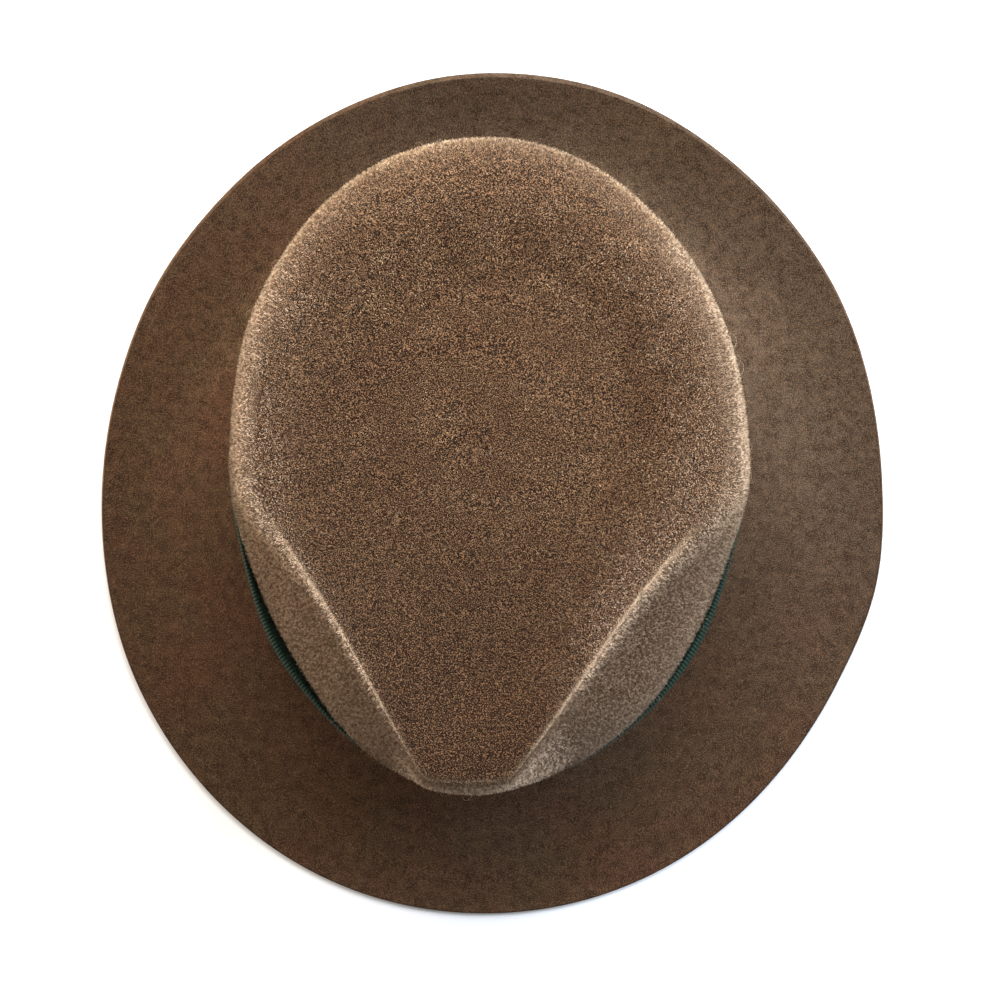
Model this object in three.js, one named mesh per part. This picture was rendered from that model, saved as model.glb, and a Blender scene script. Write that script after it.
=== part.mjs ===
// A fedora of brown wool felt: a teardrop crown with a pinched front, a snap brim with a raw cut edge, and a
// ribbon of dark green grosgrain round the foot of the crown. Crown and brim are one hood of felt.
// Millimetres, +Z up. The front is -Y and the wearer's left is +X. The hat stands on its brim, and the origin
// is under the middle of the brim's outline.
// Shapes are worked out round the upright axis of the head opening, as a radius and a height for each
// direction. Directions are in degrees: 0 is the wearer's left, 90 the back, 180 the right and 270 the front.

import * as THREE from "three";

// Driving dimensions

const directions = 76;
const frontCrowding = 0.5; // the directions lie closer together at the nose than behind, by this share

const felt = { thickness: 2.2, footBend: 4, lean: 0.045 }; // the crown leans back by lean times its height
const headOval = { halfWidth: 85, back: 102, front: 97 }; // outer face of the crown's foot, for a 57 cm head

// Outline of the top along its rim: an oval behind, which opens out in front, a straight ridge on each side,
// and the nose that they run to
const topOval = { halfWidth: 68.5, halfLength: 82, squareness: 2.2, sideways: 0.5 };
const frontOpening = { share: 0.45, within: 0.45 };
const ridgeStartY = -8;
const noseY = -92.6;
const rightRidge = { startX: -66.9, endX: -17.9 };
const leftRidge = { startX: 68.2, endX: 8.2 };
const joinSharpness = 22; // how closely the rim keeps to the oval and the ridges where they meet
const noseSharpness = 60;

// The top's line as seen from the side, from the nose to the back, and the dent that is pressed into it
const topLine = [
  { y: -96, height: 107 },
  { y: -50, height: 99.5 },
  { y: 0, height: 94 },
  { y: 45, height: 95 },
  { y: 82, height: 98 },
];
const dent = { depth: 8, slope: 30 };

// Sections round the crown.
// at: direction. taper: how far the wall has come in below the rim. fold: 0 for a round shoulder, 1 for a flat
// side folded over at a ridge. bulge: how far that flat side stands out half way up, as a share of its slope.
const crownSections = [
  { at: 0, taper: 0.8, fold: 0, bulge: 0.1 },
  { at: 45, taper: -1.5, fold: 0, bulge: 0.1 },
  { at: 90, taper: -5.9, fold: 0, bulge: 0.1 },
  { at: 135, taper: -2, fold: 0, bulge: 0.1 },
  { at: 180, taper: 5, fold: 0, bulge: 0.1 },
  { at: 205, taper: 0.1, fold: 0.8, bulge: 0.14 },
  { at: 230, taper: 0, fold: 1, bulge: 0.28 },
  { at: 250, taper: -2.4, fold: 0.9, bulge: 0.57 },
  { at: 267, taper: -4.6, fold: 0.5, bulge: 0.82 },
  { at: 285, taper: 0.2, fold: 0.9, bulge: 0.56 },
  { at: 310, taper: 0, fold: 1, bulge: 0.34 },
  { at: 335, taper: -2.5, fold: 0.8, bulge: 0.19 },
];
const shoulderSquareness = 3;

// Sections round the brim.
// at: direction. reach: from the foot of the crown to the cut edge, seen from above. foot: height of the
// underside where the crown ends. edge: height of the underside at the cut edge. rests: the share of the
// reach at which the underside lies on the surface below.
const brimSections = [
  { at: 0, reach: 51.9, foot: 3.5, edge: 6.5, rests: 0.48 },
  { at: 30, reach: 47.6, foot: 2.4, edge: 14, rests: 0.3 },
  { at: 60, reach: 38.9, foot: 1.3, edge: 24, rests: 0.19 },
  { at: 90, reach: 33.1, foot: 0.9, edge: 29, rests: 0.16 },
  { at: 120, reach: 34.8, foot: 1.3, edge: 25, rests: 0.19 },
  { at: 150, reach: 42.3, foot: 2.4, edge: 15, rests: 0.3 },
  { at: 180, reach: 48, foot: 3.5, edge: 6.5, rests: 0.48 },
  { at: 210, reach: 53.4, foot: 5.2, edge: 2.2, rests: 0.7 },
  { at: 240, reach: 54.9, foot: 7.6, edge: 0.6, rests: 0.84 },
  { at: 270, reach: 54, foot: 9, edge: 0.3, rests: 0.88 },
  { at: 300, reach: 54.1, foot: 7.6, edge: 0.6, rests: 0.84 },
  { at: 330, reach: 53.4, foot: 5.2, edge: 2.2, rests: 0.7 },
  { at: 345, reach: 54.5, foot: 4.2, edge: 4, rests: 0.58 },
];
const restHalfWidth = 0.045; // of the reach, on each side of where the underside rests
const flatness = 0.001; // how near to the surface below counts as resting on it
const dropCurve = 1.6;
const riseCurve = 1.6;

// The ribbon. Where it is drawn straight over the two front pinches it stands off the felt at its top edge.
const ribbon = { height: 30, belowFoot: 2, thickness: 1, clearance: 0.5, levels: 5 };
const standOffs = [
  { at: 219, halfSpan: 30, atTop: 3.2 },
  { at: 321, halfSpan: 21, atTop: 1.6 },
];
const lap = { from: 15, to: 24, steps: 5, thickness: 0.8, clearance: 0.3 };

const feltColour = 0x674c39;
const ribbonColour = 0x1d3a31;

// Rings of the felt, from the middle of the top to the edge of the brim, as shares of each stretch
const topRings = [0.2, 0.4, 0.55, 0.67, 0.78, 0.87, 0.94];
const sideRings = [0, 0.06, 0.14, 0.24, 0.36, 0.5, 0.64, 0.78, 0.9, 1];
const footRings = [0.33, 0.67];
const dropRings = [0, 0.45, 1];
const riseRings = [0, 0.25, 0.5, 0.75, 1];
const rimCrowding = 0.9; // below 1, the side rings lie closer together near the rim

// Reading the tables

const radians = THREE.MathUtils.degToRad;

function turned(degrees) {
  return THREE.MathUtils.euclideanModulo(degrees, 360);
}

// A column of a table read at any direction, along a smooth closed curve through its rows
function around(sections, column, degrees) {
  const count = sections.length;
  const row = (i) => sections[(i + count) % count];
  const next = sections.findIndex((section) => section.at > turned(degrees));
  const i = next < 0 ? count - 1 : next - 1;
  const span = turned(row(i + 1).at - row(i).at);
  const before = turned(row(i).at - row(i - 1).at);
  const after = turned(row(i + 2).at - row(i + 1).at);
  const rise = row(i + 1)[column] - row(i)[column];
  const riseBefore = row(i)[column] - row(i - 1)[column];
  const riseAfter = row(i + 2)[column] - row(i + 1)[column];
  const slopeFrom = ((rise + riseBefore) / (span + before)) * span;
  const slopeTo = ((rise + riseAfter) / (span + after)) * span;
  const t = turned(degrees - row(i).at) / span;
  const square = t * t;
  const cube = square * t;
  return (
    row(i)[column] +
    slopeFrom * (cube - 2 * square + t) +
    rise * (3 * square - 2 * cube) +
    slopeTo * (cube - square)
  );
}

// The crown

function headRadius(degrees) {
  const x = Math.cos(radians(degrees)) / headOval.halfWidth;
  const back = Math.sin(radians(degrees));
  return 1 / Math.hypot(x, back / (back > 0 ? headOval.back : headOval.front));
}

function topOvalRadius(degrees) {
  const x = Math.cos(radians(degrees));
  const y = Math.sin(radians(degrees));
  const n = topOval.squareness;
  const sum = Math.abs(x / topOval.halfWidth) ** n + Math.abs(y / topOval.halfLength) ** n;
  const opened = 1 + frontOpening.share * THREE.MathUtils.smoothstep(-y, 0, frontOpening.within);
  return opened / sum ** (1 / n) + topOval.sideways * x;
}

// A straight stretch of the rim, as its direction away from the axis and its distance from it
function stretch(startX, startY, endX, endY) {
  const away = new THREE.Vector2(endY - startY, startX - endX).normalize();
  const distance = away.dot(new THREE.Vector2(startX, startY));
  return distance < 0 ? { away: away.negate(), distance: -distance } : { away, distance };
}

const straights = {
  right: stretch(rightRidge.startX, ridgeStartY, rightRidge.endX, noseY),
  left: stretch(leftRidge.startX, ridgeStartY, leftRidge.endX, noseY),
  nose: stretch(rightRidge.endX, noseY, leftRidge.endX, noseY),
};

// Radius at which a direction meets the stretch, and very far out for a direction that turns away from it
const leastFacing = 0.01;

function straightRadius(degrees, line) {
  const facing = line.away.x * Math.cos(radians(degrees)) + line.away.y * Math.sin(radians(degrees));
  return line.distance / Math.max(facing, leastFacing);
}

// The smallest of some radii, rounded off where two of them meet
function softSmallest(sharpness, ...radii) {
  const sum = radii.reduce((total, radius) => total + radius ** -sharpness, 0);
  return sum ** (-1 / sharpness);
}

function rimRadius(degrees) {
  const right = straightRadius(degrees, straights.right);
  const left = straightRadius(degrees, straights.left);
  const sides = softSmallest(joinSharpness, topOvalRadius(degrees), right, left);
  return softSmallest(noseSharpness, sides, straightRadius(degrees, straights.nose));
}

// Height of the top's line at a distance behind the axis, on a smooth curve through the table's rows
function topLineHeight(y) {
  const last = topLine.length - 1;
  const within = THREE.MathUtils.clamp(y, topLine[0].y, topLine[last].y);
  const i = Math.max(topLine.findLastIndex((row) => row.y <= within && row !== topLine[last]), 0);
  const rise = (from, to) => (topLine[to].height - topLine[from].height) / (topLine[to].y - topLine[from].y);
  const slopeAt = (k) => rise(Math.max(k - 1, 0), Math.min(k + 1, last));
  const span = topLine[i + 1].y - topLine[i].y;
  const t = (within - topLine[i].y) / span;
  return (
    topLine[i].height * (2 * t ** 3 - 3 * t ** 2 + 1) +
    topLine[i + 1].height * (3 * t ** 2 - 2 * t ** 3) +
    span * slopeAt(i) * (t ** 3 - 2 * t ** 2 + t) +
    span * slopeAt(i + 1) * (t ** 3 - t ** 2)
  );
}

function rimHeight(degrees) {
  return topLineHeight(rimRadius(degrees) * Math.sin(radians(degrees)));
}

// Outer face of the crown's side, from its foot at rise 0 to the rim at rise 1
function sidePoint(degrees, rise) {
  const fold = THREE.MathUtils.clamp(around(crownSections, "fold", degrees), 0, 1);
  const bulge = around(crownSections, "bulge", degrees);
  const rounded = (1 - rise ** shoulderSquareness) ** (1 / shoulderSquareness);
  const flat = 1 - rise + bulge * hump(rise);
  const outward = (1 - fold) * rounded + fold * flat;
  const rim = rimRadius(degrees);
  const wall = headRadius(degrees) - around(crownSections, "taper", degrees) * rise;
  const foot = footHeight(degrees);
  const height = foot + (rimHeight(degrees) - foot) * rise;
  return crownPoint(degrees, rim + (wall - rim) * outward, height);
}

// 1 half way up, and 0 with no slope at both ends
function hump(rise) {
  return (4 * rise * (1 - rise)) ** 2;
}

// The dented top, from its middle at share 0 to the rim at share 1
function topPoint(degrees, share) {
  const flat = pointAt(degrees, rimRadius(degrees) * share, 0);
  const fromStraights = Object.values(straights).map(
    (line) => line.distance - line.away.x * flat.x - line.away.y * flat.y,
  );
  const fromOval = topOvalRadius(degrees) - Math.hypot(flat.x, flat.y);
  const sunk = [...fromStraights, fromOval]
    .map((distance) => THREE.MathUtils.smoothstep(distance, 0, dent.slope))
    .reduce((product, factor) => product * factor, 1);
  return crownPoint(degrees, rimRadius(degrees) * share, topLineHeight(flat.y) - dent.depth * sunk);
}

function crownPoint(degrees, radius, height) {
  const point = pointAt(degrees, radius, height);
  point.y += felt.lean * (height - footHeight(degrees));
  return point;
}

function pointAt(degrees, radius, height) {
  return new THREE.Vector3(
    radius * Math.cos(radians(degrees)),
    radius * Math.sin(radians(degrees)),
    height,
  );
}

// The brim

// Height where the crown's wall begins, above the bend into the brim
function footHeight(degrees) {
  return around(brimSections, "foot", degrees) + felt.thickness + felt.footBend;
}

function footPoint(degrees, share) {
  const bend = (Math.PI / 2) * share;
  const outward = felt.footBend * (1 - Math.cos(bend));
  const downward = felt.footBend * Math.sin(bend);
  return pointAt(degrees, headRadius(degrees) + outward, footHeight(degrees) - downward);
}

// Upper face of the brim, inside and outside the strip that rests
function brimPoint(degrees, share, height) {
  const inner = headRadius(degrees) + felt.footBend;
  const outer = headRadius(degrees) + around(brimSections, "reach", degrees);
  return pointAt(degrees, inner + (outer - inner) * share, height + felt.thickness);
}

function dropPoint(degrees, share) {
  const end = around(brimSections, "rests", degrees) - restHalfWidth;
  const height = around(brimSections, "foot", degrees) * (1 - share) ** dropCurve;
  return brimPoint(degrees, end * share, height);
}

function risePoint(degrees, share) {
  const start = around(brimSections, "rests", degrees) + restHalfWidth;
  const height = Math.max(around(brimSections, "edge", degrees), 0) * share ** riseCurve;
  return brimPoint(degrees, start + (1 - start) * share, height);
}

// Building closed walls from rings of points

const upward = new THREE.Vector3(0, 0, 1);

const stations = Array.from({ length: directions }, (_, i) => {
  const even = (i * 360) / directions;
  return even - frontCrowding * THREE.MathUtils.radToDeg(Math.cos(radians(even)));
});

function riseOfRing(share) {
  return Math.sin((Math.PI / 2) * share) ** rimCrowding;
}

function feltRings() {
  const ring = (pointFor, share) => stations.map((degrees) => pointFor(degrees, share));
  return [
    ...topRings.map((share) => ring(topPoint, share)),
    ...sideRings.toReversed().map((share) => ring(sidePoint, riseOfRing(share))),
    ...footRings.map((share) => ring(footPoint, share)),
    ...dropRings.map((share) => ring(dropPoint, share)),
    ...riseRings.map((share) => ring(risePoint, share)),
  ];
}

// The same rings moved inward by the felt's thickness. The strip that rests is kept flat, and nothing lies below it.
function innerRings(rings, middle) {
  return rings.map((ring, i) =>
    ring.map((point, j) => {
      const along = ring[(j + 1) % ring.length].clone().sub(ring.at(j - 1));
      const inward = i > 0 ? rings[i - 1][j] : middle;
      const outward = i < rings.length - 1 ? rings[i + 1][j] : point;
      const normal = outward.clone().sub(inward).cross(along).normalize();
      const rests = point.z < felt.thickness + flatness;
      const inside = point.clone().addScaledVector(rests ? upward : normal, -felt.thickness);
      inside.z = rests ? 0 : Math.max(inside.z, 0);
      return inside;
    }),
  );
}

// A geometry from numbered vertices. Each ring has the same number of points.
function ringedGeometry(rings, extraPoints, faces) {
  const geometry = new THREE.BufferGeometry();
  const points = [...rings.flat(), ...extraPoints];
  geometry.setAttribute(
    "position",
    new THREE.Float32BufferAttribute(points.flatMap((point) => point.toArray()), 3),
  );
  geometry.setIndex(faces);
  geometry.computeVertexNormals();
  return geometry;
}

function stripFaces(count, from, to, closed) {
  const faces = [];
  const last = closed ? count : count - 1;
  for (let j = 0; j < last; j += 1) {
    const next = (j + 1) % count;
    const [a, b] = [from * count + j, from * count + next];
    const [c, d] = [to * count + next, to * count + j];
    faces.push(a, d, b, b, d, c);
  }
  return faces;
}

function feltBody() {
  const outer = feltRings();
  const middle = topPoint(0, 0);
  const inner = innerRings(outer, middle);
  const rings = [...outer, ...inner.toReversed()];
  const insideMiddle = middle.clone();
  insideMiddle.z -= felt.thickness;
  const faces = rings.slice(1).flatMap((_, i) => stripFaces(directions, i, i + 1, true));
  const top = rings.length * directions;
  const lastRing = (rings.length - 1) * directions;
  for (let j = 0; j < directions; j += 1) {
    const next = (j + 1) % directions;
    faces.push(top, j, next);
    faces.push(top + 1, lastRing + next, lastRing + j);
  }
  return ringedGeometry(rings, [middle, insideMiddle], faces);
}

// The ribbon

// Outer face of the felt at a height above the crown's foot, or a little below it on the bend into the brim
function wallPoint(degrees, above) {
  const share = Math.asin(Math.max(-above, 0) / felt.footBend) / (Math.PI / 2);
  const rise = above / (rimHeight(degrees) - footHeight(degrees));
  return above < 0 ? footPoint(degrees, share) : sidePoint(degrees, rise);
}

function standOffAt(degrees, above) {
  const atTop = standOffs.map((standOff) => {
    const away = Math.abs(turned(degrees - standOff.at + 180) - 180) / standOff.halfSpan;
    return standOff.atTop * (1 - THREE.MathUtils.smoothstep(away, 0, 1));
  });
  return (Math.max(...atTop) * Math.max(above, 0)) / ribbon.height;
}

function ribbonPoint(degrees, above, outward) {
  const point = wallPoint(degrees, above);
  const away = standOffAt(degrees, above) + ribbon.clearance + outward;
  return point.add(pointAt(degrees, away, 0));
}

function ribbonHeights() {
  const step = ribbon.height / (ribbon.levels - 1);
  return Array.from({ length: ribbon.levels }, (_, i) => step * i - ribbon.belowFoot);
}

// Rings round the cross-section of a strip: down its outer face and up its inner face
function stripRings(degreesList, outerOffset, innerOffset) {
  const ring = (above, offset) => degreesList.map((degrees) => ribbonPoint(degrees, above, offset));
  return [
    ...ribbonHeights().toReversed().map((above) => ring(above, outerOffset)),
    ...ribbonHeights().map((above) => ring(above, innerOffset)),
  ];
}

function ribbonBand() {
  const rings = stripRings(stations, ribbon.thickness, 0);
  const faces = rings.flatMap((_, i) => stripFaces(directions, i, (i + 1) % rings.length, true));
  return ringedGeometry(rings, [], faces);
}

function ribbonLap() {
  const list = Array.from(
    { length: lap.steps + 1 },
    (_, i) => lap.from + ((lap.to - lap.from) * i) / lap.steps,
  );
  const inside = ribbon.thickness + lap.clearance;
  const rings = stripRings(list, inside + lap.thickness, inside);
  const faces = rings.flatMap((_, i) => stripFaces(list.length, i, (i + 1) % rings.length, false));
  // The two cut ends, closed by strips between the outer and the inner face
  const count = list.length;
  const levels = ribbon.levels;
  for (let i = 0; i < levels - 1; i += 1) {
    const [outer, outerNext] = [i * count, (i + 1) * count];
    const [inner, innerNext] = [(2 * levels - 1 - i) * count, (2 * levels - 2 - i) * count];
    const end = count - 1;
    faces.push(outer, inner, outerNext, outerNext, inner, innerNext);
    faces.push(outer + end, outerNext + end, inner + end, outerNext + end, innerNext + end, inner + end);
  }
  return ringedGeometry(rings, [], faces);
}

// The hat

function material(colour, roughness) {
  return new THREE.MeshStandardMaterial({ color: colour, roughness, metalness: 0 });
}

function piece(name, geometry, finish) {
  const mesh = new THREE.Mesh(geometry, finish);
  mesh.name = name;
  return mesh;
}

const hat = new THREE.Group();
hat.add(piece("felt_body", feltBody(), material(feltColour, 0.95)));
hat.add(piece("ribbon_band", ribbonBand(), material(ribbonColour, 0.6)));
hat.add(piece("ribbon_lap", ribbonLap(), material(ribbonColour, 0.6)));

// The origin goes under the middle of the outline
const outline = new THREE.Box3().setFromObject(hat).getCenter(new THREE.Vector3());
hat.position.set(-outline.x, -outline.y, 0);

export default hat;
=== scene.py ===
# %% [markdown]
# # A felt fedora
#
# The real hat is one hood of wool felt, steamed over a block into crown and brim, creased by hand while
# it is warm, and brushed until a short nap stands on it. A dark green grosgrain ribbon goes round the
# foot of the crown.
#
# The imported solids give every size. This script makes the surfaces that the eye sees round them: a finer
# felt body, the ribs of the ribbon, the stitches of its lap and the nap itself, which grows as real
# fibres.

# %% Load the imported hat
import math

import bpy
import numpy as np
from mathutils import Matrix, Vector, noise


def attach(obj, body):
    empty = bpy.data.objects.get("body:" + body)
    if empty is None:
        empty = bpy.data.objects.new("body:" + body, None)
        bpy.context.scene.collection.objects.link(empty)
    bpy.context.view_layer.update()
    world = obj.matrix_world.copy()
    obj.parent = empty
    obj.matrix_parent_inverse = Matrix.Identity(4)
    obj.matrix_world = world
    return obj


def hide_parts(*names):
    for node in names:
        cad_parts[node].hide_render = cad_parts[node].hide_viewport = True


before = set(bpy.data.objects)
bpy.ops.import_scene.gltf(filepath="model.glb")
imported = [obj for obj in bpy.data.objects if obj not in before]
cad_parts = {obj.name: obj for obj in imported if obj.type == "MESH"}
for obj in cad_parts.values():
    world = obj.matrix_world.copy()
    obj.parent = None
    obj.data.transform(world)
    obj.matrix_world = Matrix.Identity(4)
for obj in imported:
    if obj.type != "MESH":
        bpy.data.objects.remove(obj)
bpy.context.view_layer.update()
print("solids:", sorted(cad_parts))

# %% [markdown]
# ## Driving dimensions
#
# A blocked hat has no straight walls to measure, so its shape is written as sections: what the crown and
# the brim do in each direction round the head opening. A smooth closed curve runs through the rows of
# each table. All of this is in millimetres, the unit a hatter works in, and becomes metres when a mesh is
# made. Directions are in degrees: 0 is the wearer's left, 90 the back, 180 the right and 270 the pinched
# front.

# %% Sizes of felt and crown
MM = 0.001
FELT = 2.2  # thickness
FOOT_BEND = 4.0  # radius between the crown's wall and the brim
LEAN = 0.045  # the crown leans back by this share of its height
HEAD = {"half_width": 85.0, "back": 102.0, "front": 97.0}
TOP_OVAL = {"half_width": 68.5, "half_length": 82.0, "squareness": 2.2, "sideways": 0.5}
FRONT_OPENING = {"share": 0.45, "within": 0.45}
RIDGE_START_Y = -8.0
NOSE_Y = -92.6
RIGHT_RIDGE = {"start_x": -66.9, "end_x": -17.9}
LEFT_RIDGE = {"start_x": 68.2, "end_x": 8.2}
JOIN_SHARPNESS = 22
NOSE_SHARPNESS = 60
SHOULDER_SQUARENESS = 3
DENT = {"depth": 8.0, "slope": 30.0}


def table(names, *rows):
    """A table of sections with named columns."""
    return dict(zip(names, np.array(rows, float).T))


TOP_LINE = table(
    ("y", "height"),
    (-96, 107), (-50, 99.5), (0, 94), (45, 95), (82, 98),
)
CROWN = table(
    ("at", "taper", "fold", "bulge"),
    (0, 0.8, 0, 0.1),
    (45, -1.5, 0, 0.1),
    (90, -5.9, 0, 0.1),
    (135, -2, 0, 0.1),
    (180, 5, 0, 0.1),
    (205, 0.1, 0.8, 0.14),
    (230, 0, 1, 0.28),
    (250, -2.4, 0.9, 0.57),
    (267, -4.6, 0.5, 0.82),
    (285, 0.2, 0.9, 0.56),
    (310, 0, 1, 0.34),
    (335, -2.5, 0.8, 0.19),
)
print(f"felt {FELT} mm thick, {len(CROWN['at'])} sections of the crown")

# %% Sizes of the brim
BRIM = table(
    ("at", "reach", "foot", "edge", "rests"),
    (0, 51.9, 3.5, 6.5, 0.48),
    (30, 47.6, 2.4, 14, 0.3),
    (60, 38.9, 1.3, 24, 0.19),
    (90, 33.1, 0.9, 29, 0.16),
    (120, 34.8, 1.3, 25, 0.19),
    (150, 42.3, 2.4, 15, 0.3),
    (180, 48, 3.5, 6.5, 0.48),
    (210, 53.4, 5.2, 2.2, 0.7),
    (240, 54.9, 7.6, 0.6, 0.84),
    (270, 54, 9, 0.3, 0.88),
    (300, 54.1, 7.6, 0.6, 0.84),
    (330, 53.4, 5.2, 2.2, 0.7),
    (345, 54.5, 4.2, 4, 0.58),
)
REST_HALF_WIDTH = 0.045
BRIM_CURVE = 1.6  # the brim drops and rises as this power of the way along
print(len(BRIM["at"]), "sections of the brim")

# %% [markdown]
# ## The shape as formulas
#
# The crown could be sculpted, or cut from a mesh and smoothed. A formula was chosen, because every crease
# of a fedora is a meeting of simple surfaces: an oval top, a straight ridge at each side and a short
# nose. The rim is the nearest of these in each direction, rounded a little where two of them meet.


# %% Reading a table
def sine(degrees):
    return np.sin(np.radians(degrees))


def cosine(degrees):
    return np.cos(np.radians(degrees))


def around(sections, column, degrees):
    """A column read at any direction, on a smooth closed curve through its rows."""
    at, value = sections["at"], sections[column]
    i = np.searchsorted(at, np.mod(degrees, 360), side="right") - 1

    def row(step):
        return value[(i + step) % len(at)]

    def span(step):
        return np.mod(at[(i + step + 1) % len(at)] - at[(i + step) % len(at)], 360)

    t = np.mod(degrees - at[i], 360) / span(0)
    slope_from = (row(1) - row(-1)) / (span(0) + span(-1)) * span(0)
    slope_to = (row(2) - row(0)) / (span(0) + span(1)) * span(0)
    return cubic(t, row(0), row(1), slope_from, slope_to)


def cubic(t, start, end, slope_start, slope_end):
    """A smooth curve from one value to another, with a given slope at each end."""
    eased = (end - start) * (3 * t**2 - 2 * t**3)
    return start + slope_start * (t**3 - 2 * t**2 + t) + eased + slope_end * (t**3 - t**2)


def smooth_step(value, low, high):
    """0 below low, 1 above high, and an even curve between them."""
    t = np.clip((value - low) / (high - low), 0, 1)
    return t * t * (3 - 2 * t)


def near(away, full, none):
    """1 up to full, 0 beyond none, and an even curve between them."""
    return 1 - smooth_step(away, full, none)


def polar(degrees, radius, height):
    """Points from directions, radii and heights, whose shapes are spread over each other."""
    angle = np.radians(degrees)
    x, y, z = np.broadcast_arrays(radius * np.cos(angle), radius * np.sin(angle), height)
    return np.stack([x, y, z], axis=-1)


# %% Two ovals
def head_radius(degrees):
    """Outer face of the felt at the crown's foot: an oval, a little shorter in front."""
    y = sine(degrees)
    half_length = np.where(y > 0, HEAD["back"], HEAD["front"])
    return 1 / np.hypot(cosine(degrees) / HEAD["half_width"], y / half_length)


def top_oval_radius(degrees):
    """The oval behind, which opens out in front so that the ridges alone shape it there."""
    x, y = cosine(degrees), sine(degrees)
    n = TOP_OVAL["squareness"]
    total = np.abs(x / TOP_OVAL["half_width"]) ** n + np.abs(y / TOP_OVAL["half_length"]) ** n
    opened = 1 + FRONT_OPENING["share"] * smooth_step(-y, 0, FRONT_OPENING["within"])
    return opened / total ** (1 / n) + TOP_OVAL["sideways"] * x


print("half of the head, front to back:", head_radius(np.array([270.0, 90.0])), "mm")


# %% The straight ridges and the nose
def stretch(start_x, start_y, end_x, end_y):
    """A straight stretch of the rim, as its direction away from the axis and its distance from it."""
    away = np.array([end_y - start_y, start_x - end_x])
    away = away / np.hypot(*away)
    distance = away @ (start_x, start_y)
    return away * np.sign(distance), abs(distance)


STRAIGHTS = {
    "right": stretch(RIGHT_RIDGE["start_x"], RIDGE_START_Y, RIGHT_RIDGE["end_x"], NOSE_Y),
    "left": stretch(LEFT_RIDGE["start_x"], RIDGE_START_Y, LEFT_RIDGE["end_x"], NOSE_Y),
    "nose": stretch(RIGHT_RIDGE["end_x"], NOSE_Y, LEFT_RIDGE["end_x"], NOSE_Y),
}
LEAST_FACING = 0.01  # a stretch that faces away counts as very far off


def straight_radius(degrees, name):
    away, distance = STRAIGHTS[name]
    facing = away[0] * cosine(degrees) + away[1] * sine(degrees)
    return distance / np.maximum(facing, LEAST_FACING)


print({name: round(distance, 1) for name, (_, distance) in STRAIGHTS.items()}, "mm from the axis")


# %% The rim of the crown's top
def soft_smallest(sharpness, *radii):
    """The smallest of some radii, rounded off where two of them meet."""
    return sum(radius**-sharpness for radius in radii) ** (-1 / sharpness)


def rim_radius(degrees):
    right, left = straight_radius(degrees, "right"), straight_radius(degrees, "left")
    sides = soft_smallest(JOIN_SHARPNESS, top_oval_radius(degrees), right, left)
    return soft_smallest(NOSE_SHARPNESS, sides, straight_radius(degrees, "nose"))


def top_line_height(y):
    """Height of the top's line, as seen from the side, at a distance behind the axis."""
    ys, heights = TOP_LINE["y"], TOP_LINE["height"]
    within = np.clip(y, ys[0], ys[-1])
    i = np.clip(np.searchsorted(ys, within, side="right") - 1, 0, len(ys) - 2)
    rises = np.diff(heights) / np.diff(ys)
    inner = (heights[2:] - heights[:-2]) / (ys[2:] - ys[:-2])
    slopes = np.concatenate([rises[:1], inner, rises[-1:]])
    span = ys[i + 1] - ys[i]
    t = (within - ys[i]) / span
    return cubic(t, heights[i], heights[i + 1], span * slopes[i], span * slopes[i + 1])


def rim_height(degrees):
    return top_line_height(rim_radius(degrees) * sine(degrees))


print("rim heights, nose and back:", rim_height(np.array([267.0, 90.0])).round(1), "mm")


# %% The crown's faces
def foot_height(degrees):
    """Height where the crown's wall begins, above the bend into the brim."""
    return around(BRIM, "foot", degrees) + FELT + FOOT_BEND


def crown_points(degrees, radius, height):
    points = polar(degrees, radius, height)
    points[..., 1] += LEAN * (height - foot_height(degrees))
    return points


def side_points(degrees, rise):
    """The crown's side, from its foot at rise 0 to the rim at rise 1."""
    fold = np.clip(around(CROWN, "fold", degrees), 0, 1)
    hump = (4 * rise * (1 - rise)) ** 2
    flat = 1 - rise + around(CROWN, "bulge", degrees) * hump
    rounded = (1 - rise**SHOULDER_SQUARENESS) ** (1 / SHOULDER_SQUARENESS)
    outward = (1 - fold) * rounded + fold * flat
    rim = rim_radius(degrees)
    wall = head_radius(degrees) - around(CROWN, "taper", degrees) * rise
    foot = foot_height(degrees)
    height = foot + (rim_height(degrees) - foot) * rise
    return crown_points(degrees, rim + (wall - rim) * outward, height)


def top_points(degrees, share):
    """The dented top, from its middle at share 0 to the rim at share 1."""
    radius = rim_radius(degrees) * share
    flat = polar(degrees, radius, 0)
    sunk = smooth_step(top_oval_radius(degrees) - radius, 0, DENT["slope"])
    for away, distance in STRAIGHTS.values():
        sunk = sunk * smooth_step(distance - flat[..., :2] @ away, 0, DENT["slope"])
    return crown_points(degrees, radius, top_line_height(flat[..., 1]) - DENT["depth"] * sunk)


# %% The foot and the brim
def foot_points(degrees, share):
    """The bend from the crown's wall at share 0 down to the brim at share 1."""
    bend = np.pi / 2 * share
    outward, downward = FOOT_BEND * (1 - np.cos(bend)), FOOT_BEND * np.sin(bend)
    return polar(degrees, head_radius(degrees) + outward, foot_height(degrees) - downward)


def brim_points(degrees, share):
    """The brim's upper face, which drops to the strip that rests and then rises to the cut edge."""
    reach, rests = around(BRIM, "reach", degrees), around(BRIM, "rests", degrees)
    down = np.clip(1 - share / (rests - REST_HALF_WIDTH), 0, 1)
    up = np.clip((share - rests - REST_HALF_WIDTH) / (1 - rests - REST_HALF_WIDTH), 0, 1)
    edge = np.maximum(around(BRIM, "edge", degrees), 0)
    height = around(BRIM, "foot", degrees) * down**BRIM_CURVE + edge * up**BRIM_CURVE
    radius = head_radius(degrees) + FOOT_BEND + (reach - FOOT_BEND) * share
    return polar(degrees, radius, height + FELT)


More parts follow.
